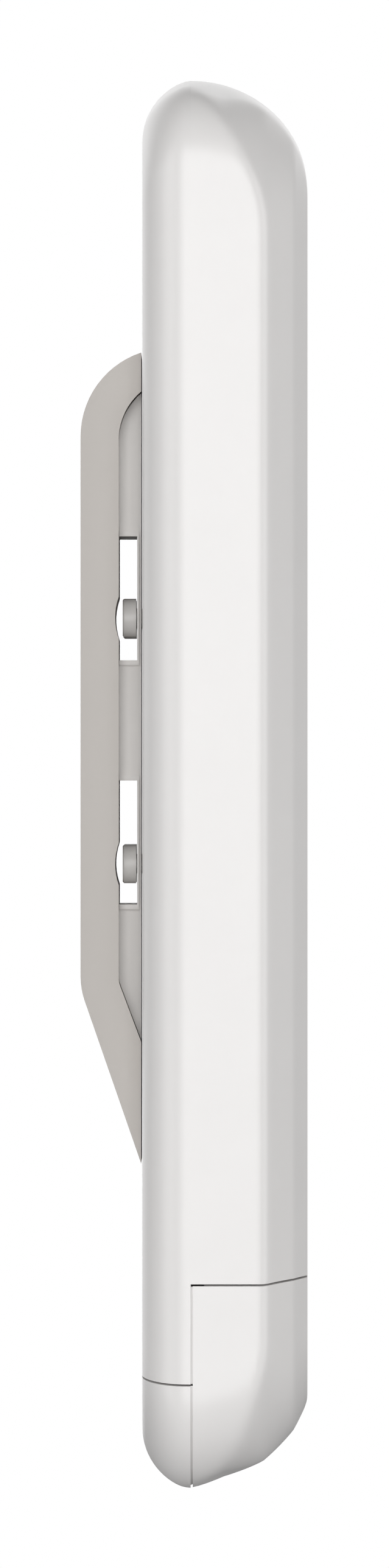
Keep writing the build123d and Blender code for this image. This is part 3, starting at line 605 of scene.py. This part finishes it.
    def build(self) -> None:
        """Cuts the body into its four outer pieces, opens their holes and dresses them."""
        outer = self.solid("outer", 0.0, self.stations, self.levels)
        inner = self.solid("inner", self.wall, *self.hidden_grid)
        cuts = {
            "radome_skin": (self.seam_front, self.past_front, self.parting, True),
            "housing_skin": (self.seam_back, self.parting, self.past_back, True),
            "foot_skin_front": (self.seam_front, self.past_front, self.parting - self.seam, False),
            "foot_skin_rear": (self.seam_back, self.parting + self.off_plane, self.past_back, False),
        }
        pieces = {}
        for name, (side, start, end, is_above) in cuts.items():
            block = self.region(side, self.seam / 2, start, end, is_above)
            piece = combine(copy_of(outer, name), block, "INTERSECT")
            pieces[name] = combine(piece, inner, "DIFFERENCE")
            discard(block)
        self._add_lips(pieces)
        discard(outer, inner)
        self._open_all(pieces)
        owners = {"radome_skin": ("housing", "radome_plastic", "front_radome"),
                  "housing_skin": ("housing", "housing_plastic", "rear_housing"),
                  "foot_skin_front": ("port_cover", "radome_plastic", "port_cover_front"),
                  "foot_skin_rear": ("port_cover", "housing_plastic", "port_cover_rear")}
        for name, (body, slot, node) in owners.items():
            smooth(pieces[name])
            dress(pieces[name], SHELL)
            fit(pieces[name], body, slot, node)

    def _open_all(self, pieces: dict[str, bpy.types.Object]) -> None:
        """Cuts the light's slot, the screw seats, the cable mouths and the latch's window.

        Args:
            pieces: the cut pieces, by name.
        """
        slot = prism("hole", self._light_slot(), self.front - 4.9, self.front + 7.1, 1)
        self._open(pieces["radome_skin"], [slot])
        seats = [prism("hole", disc(x, z, self.case_seat[0]), self.case_seat[1], self.past_seats, 1)
                 for x, z in CASE_SCREWS]
        self._open(pieces["housing_skin"], seats)
        mouths = [prism("hole", disc(x, y, self.mouth_radius), self.bottom - 13.8, self.bottom + 16.2, 2)
                  for x, y in BOOTS]
        self._open(pieces["foot_skin_front"], mouths)
        left, right, low, high = self.latch_window
        corners = [(left, low), (right, low), (right, high), (left, high)]
        rear = [prism("hole", disc(x, z, self.foot_seat[0]), self.foot_seat[1], self.past_seats, 1)
                for x, z in FOOT_SCREWS]
        self._open(pieces["foot_skin_rear"], rear + [prism("hole", corners, -22.0, self.past_seats, 1)])

    def _add_lips(self, pieces: dict[str, bpy.types.Object]) -> None:
        """Puts a thin lip behind the foot cover's upright seam, so that it reads as a groove.

        Args:
            pieces: the cut pieces, by name.
        """
        start, end = self.parting - self.lip_depth, self.parting + 2.0
        recessed = self.solid("recessed", self.lip_inset, self.stations // 2, 20)
        lining = self.solid("lining", self.lip_back, *self.hidden_grid)
        below = self.region(self.seam_front, self.seam, start, end, False)
        ledge = combine(combine(copy_of(recessed, "ledge"), below, "INTERSECT"), lining, "DIFFERENCE")
        for owner, is_above in (("housing_skin", True), ("foot_skin_rear", False)):
            part = self.region(self.seam_back, self.seam / 2, start - 1.0, end + 1.0, is_above)
            lip = combine(copy_of(ledge, "lip"), part, "INTERSECT")
            combine(pieces[owner], lip, "UNION")
            discard(part, lip)
        room = self.region(self.seam_front, -1.0, start - 0.3, end, False)
        hollow = combine(copy_of(recessed, "hollow"), room, "INTERSECT")
        combine(pieces["foot_skin_front"], hollow, "DIFFERENCE")
        discard(recessed, lining, below, ledge, room, hollow)

    def _light_slot(self) -> list[tuple[float, float]]:
        """Lists the outline of the status light's slot.

        Returns:
            Points as (x, z).
        """
        centre, run, radius = self.light_slot
        ends = [(run, -math.pi / 2), (-run, math.pi / 2)]
        return [(x + radius * math.cos(turn + t), centre + radius * math.sin(turn + t))
                for x, turn in ends for t in np.linspace(0, math.pi, 13)]

    @staticmethod
    def _open(piece: bpy.types.Object, holes: list[bpy.types.Object]) -> None:
        """Cuts holes in a piece and removes the cutters.

        Args:
            piece: the piece to cut.
            holes: the cutters.
        """
        for hole in holes:
            combine(piece, hole, "DIFFERENCE")
        discard(*holes)


# ------------------------------------------------------------------------------------- fasteners
@dataclass
class TurnedRow:
    """A set of equal turned fasteners, instanced by one Geometry Nodes tree."""

    name: str
    node: str
    body: str
    finish: Finish
    spots: list[tuple[float, float]]
    tip: float
    head_radius: float
    head_height: float
    neck_radius: float
    neck_length: float
    recess: float = 0.0
    chamfer: float = 0.35
    sides: int = 48

    def tree(self) -> bpy.types.NodeTree:
        """Builds the tree that puts one fastener on every point.

        Returns:
            The node group, with named inputs for its sizes.
        """
        group = bpy.data.node_groups.new(self.name + "_tree", "GeometryNodeTree")
        face = group.interface
        face.new_socket("Geometry", in_out="INPUT", socket_type="NodeSocketGeometry")
        for label in ("Head Radius", "Head Height", "Chamfer", "Neck Radius", "Neck Length", "Recess Radius"):
            face.new_socket(label, in_out="INPUT", socket_type="NodeSocketFloat")
        face.new_socket("Geometry", in_out="OUTPUT", socket_type="NodeSocketGeometry")
        add, link = group.nodes.new, group.links.new
        source, result = add("NodeGroupInput"), add("NodeGroupOutput")

        def calc(kind: str, first: object, second: object) -> bpy.types.NodeSocket:
            """Adds one sum.

            Args:
                kind: the sum's operation.
                first: a number or a socket.
                second: a number or a socket.

            Returns:
                The socket with the answer.
            """
            node = add("ShaderNodeMath")
            node.operation = kind
            for slot, value in zip(node.inputs, (first, second)):
                if isinstance(value, float):
                    slot.default_value = value
                else:
                    link(value, slot)
            return node.outputs[0]

        def cone(low: object, high: object, depth: object, base: object) -> bpy.types.NodeSocket:
            """Adds a cone frustum that stands at a height.

            Args:
                low: socket with the lower radius.
                high: socket with the upper radius.
                depth: socket with the height of the frustum.
                base: socket with the height of its foot.

            Returns:
                The socket with the mesh.
            """
            node, move = add("GeometryNodeMeshCone"), add("GeometryNodeTransform")
            place = add("ShaderNodeCombineXYZ")
            node.inputs["Vertices"].default_value = self.sides
            link(low, node.inputs["Radius Bottom"])
            link(high, node.inputs["Radius Top"])
            link(depth, node.inputs["Depth"])
            link(base, place.inputs["Z"])
            link(node.outputs["Mesh"], move.inputs["Geometry"])
            link(place.outputs["Vector"], move.inputs["Translation"])
            return move.outputs["Geometry"]

        head, chamfer = source.outputs["Head Radius"], source.outputs["Chamfer"]
        body_height = calc("SUBTRACT", source.outputs["Head Height"], chamfer)
        barrel = cone(head, head, body_height, calc("MULTIPLY", source.outputs["Head Height"], -1.0))
        rim = cone(head, calc("SUBTRACT", head, chamfer), chamfer, calc("MULTIPLY", chamfer, -1.0))
        neck = source.outputs["Neck Radius"]
        full = calc("ADD", source.outputs["Head Height"], source.outputs["Neck Length"])
        shank = cone(neck, neck, source.outputs["Neck Length"], calc("MULTIPLY", full, -1.0))
        joined = add("GeometryNodeMeshBoolean")
        joined.operation = "UNION"
        for part in (barrel, rim, shank):
            link(part, joined.inputs[1])
        shape = joined.outputs["Mesh"]
        if self.recess:
            shape = self._socketed(group, shape, source)
        place, real, paint = (add("GeometryNodeInstanceOnPoints"), add("GeometryNodeRealizeInstances"),
                              add("GeometryNodeSetMaterial"))
        place.inputs["Rotation"].default_value = (-math.pi / 2, 0.0, 0.0)
        paint.inputs["Material"].default_value = self.finish.material()
        link(source.outputs["Geometry"], place.inputs["Points"])
        link(shape, place.inputs["Instance"])
        link(place.outputs["Instances"], real.inputs["Geometry"])
        link(real.outputs["Geometry"], paint.inputs["Geometry"])
        link(paint.outputs["Geometry"], result.inputs["Geometry"])
        return group

    @staticmethod
    def _socketed(group: bpy.types.NodeTree, shape: bpy.types.NodeSocket,
                  source: bpy.types.Node) -> bpy.types.NodeSocket:
        """Cuts a hexagonal driver socket into a fastener's head.

        Args:
            group: the tree.
            shape: socket with the fastener's mesh.
            source: the tree's inputs.

        Returns:
            The socket with the cut mesh.
        """
        add, link = group.nodes.new, group.links.new
        socket, drop = add("GeometryNodeMeshCylinder"), add("GeometryNodeTransform")
        socket.inputs["Vertices"].default_value = 6
        link(source.outputs["Recess Radius"], socket.inputs["Radius"])
        link(source.outputs["Head Height"], socket.inputs["Depth"])
        link(socket.outputs["Mesh"], drop.inputs["Geometry"])
        cut = add("GeometryNodeMeshBoolean")
        cut.operation = "DIFFERENCE"
        link(shape, cut.inputs[0])
        link(drop.outputs["Geometry"], cut.inputs[1])
        return cut.outputs["Mesh"]

    def build(self) -> None:
        """Instances the fasteners, makes them one plain mesh and hands it to the frame."""
        mesh = bpy.data.meshes.new(self.name)
        mesh.from_pydata([(x * MM, self.tip * MM, z * MM) for x, z in self.spots], [], [])
        piece = bpy.data.objects.new(self.name, mesh)
        bpy.context.scene.collection.objects.link(piece)
        group = self.tree()
        modifier = piece.modifiers.new("row", "NODES")
        modifier.node_group = group
        sizes = {"Head Radius": self.head_radius, "Head Height": self.head_height, "Chamfer": self.chamfer,
                 "Neck Radius": self.neck_radius, "Neck Length": self.neck_length, "Recess Radius": self.recess}
        for socket in group.interface.items_tree:
            if socket.in_out == "INPUT" and socket.name in sizes:
                modifier[socket.identifier] = sizes[socket.name] * MM
        settle(piece)
        smooth(piece)
        fit(piece, self.body, "stainless", self.node)


# ---------------------------------------------------------------------------- softened mouldings
@dataclass
class SoftenedMoulding:
    """A moulding whose CAD shape is kept and whose hard edges get a real edge radius."""

    name: str
    node: str
    body: str
    slot: str
    finish: Finish
    edge: float
    steps: int
    # Facets flatter than this are merged, and edges sharper than the other are rounded.
    flat_deg: float = 0.8
    sharp_deg: float = 40.0

    def build(self) -> None:
        """Copies the CAD shape, merges it, rounds its edges and hands it to the frame."""
        piece = copy_of(NODES[self.node], self.name)
        work = bmesh.new()
        work.from_mesh(piece.data)
        bmesh.ops.remove_doubles(work, verts=work.verts, dist=1e-6)
        bmesh.ops.dissolve_limit(work, angle_limit=math.radians(self.flat_deg), verts=work.verts,
                                edges=work.edges)
        work.to_mesh(piece.data)
        work.free()
        modifier = piece.modifiers.new("edge", "BEVEL")
        modifier.width = self.edge * MM
        modifier.segments = self.steps
        modifier.limit_method = "ANGLE"
        modifier.angle_limit = math.radians(self.sharp_deg)
        modifier.use_clamp_overlap = True
        modifier.harden_normals = False
        settle(piece)
        smooth(piece, self.sharp_deg)
        dress(piece, self.finish)
        fit(piece, self.body, self.slot, self.node)


# ------------------------------------------------------------------------------------ the studio
@dataclass
class Studio:
    """Camera, soft light, pale floor and white surround."""

    distance: float = 6.0
    near_side: float = -0.0905
    aim_y: float = -0.02772
    aim_z: float = -0.0153
    view_height: float = 0.3790
    floor_z: float = -0.62
    floor_reach: float = 9.0
    floor_depth: float = 0.02
    # Lights as (name, place, side of the square, watts).
    lights: tuple[tuple[str, tuple[float, float, float], float, float], ...] = (
        ("key", (-3.5, 0.2, 0.5), 1.5, 44.0),
        ("back_fill", (-1.6, 2.6, 0.1), 2.0, 27.0),
        ("front_fill", (-1.5, -2.6, 0.2), 2.0, 27.0),
        ("near_key", (-3.4, -0.012, 0.0), 0.3, 9.0))
    # Brightness of the wall of light behind the object, and where it begins and is full.
    backdrop: float = 1.6
    backdrop_span: tuple[float, float] = (0.55, 0.92)
    # Brightness of the surround against height, from straight down to straight up.
    surround: tuple[tuple[float, float], ...] = ((0.0, 0.03), (0.5, 0.76), (0.68, 0.42), (1.0, 0.22))

    def build(self) -> None:
        """Sets up the studio."""
        scene = bpy.context.scene
        scene.view_settings.view_transform = "Standard"
        self._camera(scene)
        for light in self.lights:
            self._light(*light)
        self._floor()
        self._world(scene)

    def _camera(self, scene: bpy.types.Scene) -> None:
        """Places a long lens square to the body's side.

        Args:
            scene: the scene that gets the camera.
        """
        data = bpy.data.cameras.new("camera")
        data.sensor_fit = "VERTICAL"
        data.angle = 2 * math.atan(self.view_height / 2 / self.distance)
        data.clip_end = 60.0
        camera = bpy.data.objects.new("camera", data)
        camera.location = (self.near_side - self.distance, self.aim_y, self.aim_z)
        camera.rotation_euler = (math.pi / 2, 0.0, -math.pi / 2)
        scene.collection.objects.link(camera)
        scene.camera = camera

    @staticmethod
    def _light(name: str, place: tuple[float, float, float], size: float, power: float) -> None:
        """Adds one soft square light that faces the object.

        Args:
            name: the light's name.
            place: where it is, in metres.
            size: its side, in metres.
            power: its power, in watts.
        """
        data = bpy.data.lights.new(name, "AREA")
        data.size = size
        data.energy = power
        light = bpy.data.objects.new(name, data)
        light.location = place
        light.rotation_euler = (Vector((0, 0, 0)) - Vector(place)).to_track_quat("-Z", "Y").to_euler()
        bpy.context.scene.collection.objects.link(light)

    def _floor(self) -> None:
        """Lays the pale floor."""
        reach, level = self.floor_reach / MM, self.floor_z / MM
        corners = [(-reach, -reach), (reach, -reach), (reach, reach), (-reach, reach)]
        floor = prism("floor", corners, level - self.floor_depth / MM, level, 2)
        dress(floor, FLOOR)

    def _world(self, scene: bpy.types.Scene) -> None:
        """Surrounds the object with soft light that is weaker from below, behind a white backdrop.

        Args:
            scene: the scene that gets the surround.
        """
        world = bpy.data.worlds.new("surround")
        world.use_nodes = True
        scene.world = world
        nodes, links = world.node_tree.nodes, world.node_tree.links
        nodes.clear()
        soft, white, mix = (nodes.new("ShaderNodeBackground"), nodes.new("ShaderNodeBackground"),
                            nodes.new("ShaderNodeMixShader"))
        white.inputs["Color"].default_value = (1, 1, 1, 1)
        path, out = nodes.new("ShaderNodeLightPath"), nodes.new("ShaderNodeOutputWorld")
        links.new(self._brightness(nodes, links), soft.inputs["Color"])
        links.new(path.outputs["Is Camera Ray"], mix.inputs["Fac"])
        links.new(soft.outputs["Background"], mix.inputs[1])
        links.new(white.outputs["Background"], mix.inputs[2])
        links.new(mix.outputs["Shader"], out.inputs["Surface"])

    def _brightness(self, nodes: bpy.types.Nodes, links: bpy.types.NodeLinks) -> bpy.types.NodeSocket:
        """Works out how bright the surround is in each direction.

        Args:
            nodes: the world's nodes.
            links: the world's links.

        Returns:
            The socket with the brightness as a grey.
        """
        place, split = nodes.new("ShaderNodeTexCoord"), nodes.new("ShaderNodeSeparateXYZ")
        remap, ramp = nodes.new("ShaderNodeMapRange"), nodes.new("ShaderNodeValToRGB")
        remap.inputs["From Min"].default_value = -1.0
        links.new(place.outputs["Generated"], split.inputs["Vector"])
        links.new(split.outputs["Z"], remap.inputs["Value"])
        links.new(remap.outputs["Result"], ramp.inputs["Fac"])
        stops = [ramp.color_ramp.elements[0], ramp.color_ramp.elements[1]]
        stops[1:1] = [ramp.color_ramp.elements.new(share) for share, _ in self.surround[1:-1]]
        for stop, (share, level) in zip(stops, self.surround):
            stop.position, stop.color = share, (level, level, level, 1)
        behind = nodes.new("ShaderNodeMapRange")
        behind.interpolation_type = "SMOOTHSTEP"
        for label, value in zip(("From Min", "From Max", "To Max"), (*self.backdrop_span, self.backdrop)):
            behind.inputs[label].default_value = value
        lift = nodes.new("ShaderNodeMix")
        lift.data_type, lift.blend_type, lift.clamp_result = "RGBA", "ADD", False
        lift.inputs["Factor"].default_value = 1.0
        links.new(split.outputs["X"], behind.inputs["Value"])
        links.new(ramp.outputs["Color"], lift.inputs["A"])
        links.new(behind.outputs["Result"], lift.inputs["B"])
        return lift.outputs["Result"]


# ---------------------------------------------------------------------------------- whole object
@dataclass
class AccessPoint:
    """Everything that is seen, in the order it is built."""

    shell: BodyShell = field(default_factory=BodyShell)
    fasteners: list[TurnedRow] = field(default_factory=lambda: [
        TurnedRow("hanger_studs", "mount_studs", "housing", STUD_TONE_AND_LIGHT, STUDS, tip=-10.2,
                  head_radius=4.7, head_height=3.3, neck_radius=2.3, neck_length=6.8),
        TurnedRow("case_screws", "housing_screws", "housing", STEEL, CASE_SCREWS, tip=-15.5,
                  head_radius=3.4, head_height=2.2, neck_radius=1.5, neck_length=21.0, recess=1.5),
        TurnedRow("foot_screws", "cover_screws", "port_cover", STEEL, FOOT_SCREWS, tip=-15.5, head_radius=2.6,
                  head_height=1.6, neck_radius=1.2, neck_length=21.0, recess=1.1, chamfer=0.25),
        TurnedRow("plate_screws", "bracket_screws", "bracket", STEEL, PLATE_SCREWS, tip=-0.3, head_radius=2.8,
                  head_height=1.25, neck_radius=1.2, neck_length=8.4, recess=1.1, chamfer=0.25)])
    mouldings: list[SoftenedMoulding] = field(default_factory=lambda: [
        SoftenedMoulding("wall_tray", "bracket_wall_tray", "bracket", "bracket_plastic", BRACKET_PAINTED_SHADE, 0.9, 4),
        SoftenedMoulding("key_plate", "bracket_key_plate", "bracket", "bracket_plastic", KEY_PLATE, 0.35, 3),
        SoftenedMoulding("foot_latch", "cover_latch", "cover_latch", "housing_plastic", SHELL, 0.15, 2),
        SoftenedMoulding("cable_boots", "cable_grommets", "port_cover", "grommet_rubber", GROMMET, 0.25, 2)])

    def build(self) -> None:
        """Builds and dresses every piece."""
        self.shell.build()
        for group in (self.fasteners, self.mouldings):
            for item in group:
                item.build()
        self._dress_carried_over()

    @staticmethod
    def _dress_carried_over() -> None:
        """Gives every CAD node that stays its procedural finish."""
        for row in frame["record"]["subparts"]:
            node = NODES[row["node"]]
            finish = SLOT_FINISH[row["material_slot"]].material()
            for slot in node.material_slots:
                slot.material = finish
            if not node.material_slots:
                node.data.materials.append(finish)


def main() -> None:
    """Builds the studio and the object in order."""
    logging.basicConfig(level=logging.INFO, format="%(name)s %(message)s")
    steps: list[tuple[str, Callable[[], None]]] = [("studio", Studio().build), ("object", AccessPoint().build)]
    for name, step in steps:
        step()
        LOG.info("%s built", name)


if __name__ == "__main__":
    main()
